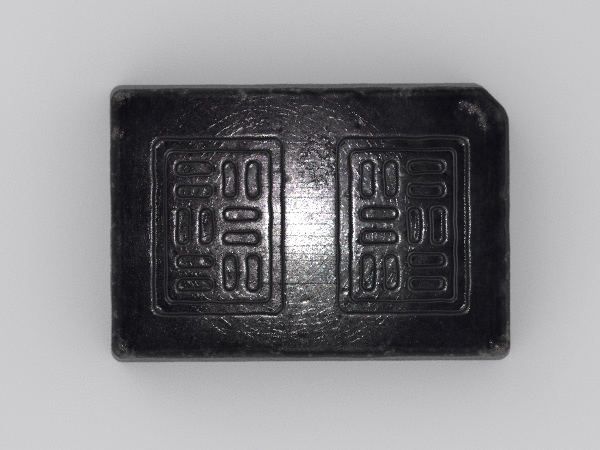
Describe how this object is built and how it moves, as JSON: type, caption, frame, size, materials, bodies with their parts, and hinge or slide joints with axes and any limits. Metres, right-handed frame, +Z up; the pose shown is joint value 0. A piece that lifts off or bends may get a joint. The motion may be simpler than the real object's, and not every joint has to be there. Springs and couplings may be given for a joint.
{
  "type": "metal ingot",
  "caption": "Flat cast metal ingot with drafted sides, a cut corner and sunk geometric panels in its upper face; lies on its wide face and stacks.",
  "frame": {"origin": "on the plane the ingot rests on, under the middle of the block", "axes": "+Z up from the wide foot to the narrow face with the sunk panels, +X along the length, the cut corner at +X and +Y"},
  "size_m": [0.1496, 0.104, 0.03],
  "materials": {
    "cast_metal": "as cast, dark grey with bright grains"
  },
  "bodies": {
    "root": {"ingot": "cast_metal"}
  },
  "joints": []
}
